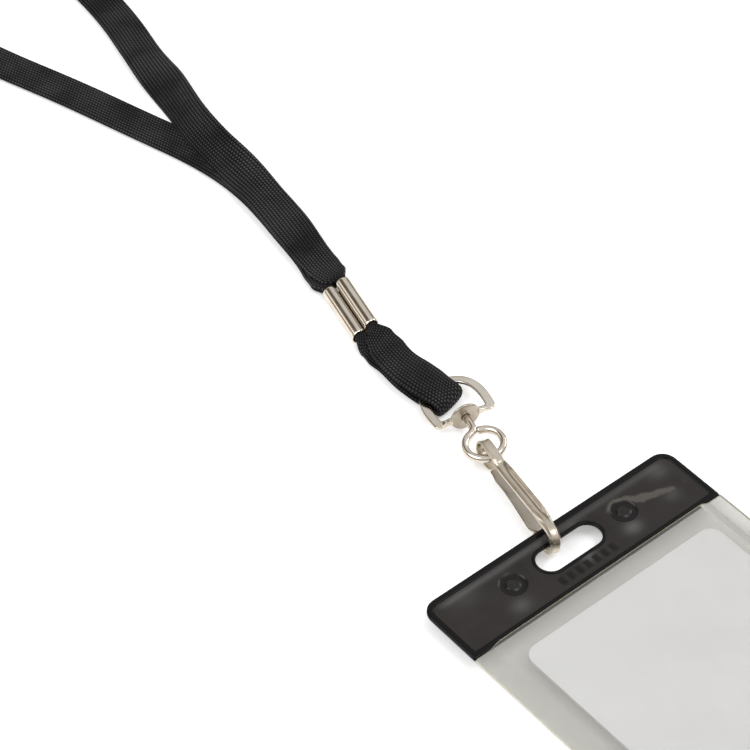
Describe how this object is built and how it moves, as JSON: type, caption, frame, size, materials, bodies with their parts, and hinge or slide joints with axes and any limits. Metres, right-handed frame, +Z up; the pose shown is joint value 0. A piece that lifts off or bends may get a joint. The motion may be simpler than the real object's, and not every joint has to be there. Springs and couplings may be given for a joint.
{
  "type": "lanyard badge holder",
  "caption": "Flat braid neck strap with crimp, D-ring, swivel and spring hook carrying an upright vinyl card holder with a dark top band.",
  "frame": {"origin": "under the middle of the object without its neck strap, on the surface it lies on", "axes": "+X along the swivel axis from the strap towards the card holder, +Z up from the surface"},
  "size_m": [0.4614, 0.1636, 0.0118],
  "materials": {
    "braid": "black flat tubular braid, fine ribs along its length",
    "tie": "black hook-and-loop tape, matte",
    "nickel": "warm nickel plate, polished with light handling marks",
    "spring_steel": "nickel-plated spring strip",
    "black_vinyl": "black vinyl, smooth and glossy",
    "smoked_vinyl": "smoked charcoal vinyl, glossy and slightly wavy",
    "clear_vinyl": "clear soft vinyl, slightly grey",
    "card": "blank white card, satin"
  },
  "bodies": {
    "strap_end": {"neck_strap_upper_leg": "braid", "neck_strap_lower_leg": "braid", "neck_strap_coil": "braid", "storage_tie": "tie", "crimp_sleeve": "nickel", "strap_lower_loop": "braid"},
    "ring": {"d_ring": "nickel"},
    "swivel": {"swivel_eye": "nickel"},
    "hook": {"hook_body": "nickel"},
    "gate": {"gate_leaf": "spring_steel"},
    "holder": {"band_back": "black_vinyl", "band_panel": "smoked_vinyl", "band_border": "black_vinyl", "slot_collar": "black_vinyl", "spot_welds": "black_vinyl", "raised_pips": "black_vinyl", "pocket_back": "clear_vinyl", "pocket_front": "clear_vinyl", "pocket_seam": "clear_vinyl"},
    "card": {"insert_card": "card"}
  },
  "joints": [
    {"name": "strap_bend", "type": "hinge", "parent": "strap_end", "child": "ring", "pos_m": [-0.071, -0.02001, 0.0022], "axis": [0.2672, -0.9636, 0], "range_deg": [-45, 75], "deforming": ["strap_lower_loop"]},
    {"name": "swivel_turn", "type": "hinge", "parent": "ring", "child": "swivel", "pos_m": [-0.051, -0.016, 0.0035], "axis": [1, 0, 0], "continuous": true},
    {"name": "hook_swing", "type": "hinge", "parent": "swivel", "child": "hook", "pos_m": [-0.03745, -0.016, 0.0035], "axis": [0, 0.9903, 0.1392], "range_deg": [-35, 35]},
    {"name": "gate_press", "type": "hinge", "parent": "hook", "child": "gate", "pos_m": [-0.03535, -0.01617, 0.00151], "axis": [0, -0.9962, 0.0872], "range_deg": [0, 8], "stiffness_Nm_per_rad": 0.12, "springref_deg": -2.86},
    {"name": "holder_flap", "type": "hinge", "parent": "hook", "child": "holder", "pos_m": [-0.01247, -0.01473, 0.00354], "axis": [0.2639, -0.9646, 0], "range_deg": [-10, 45]},
    {"name": "card_slide", "type": "slide", "parent": "holder", "child": "card", "axis": [-0.9642, -0.2638, 0.029], "range_m": [0, 0.0115]}
  ]
}
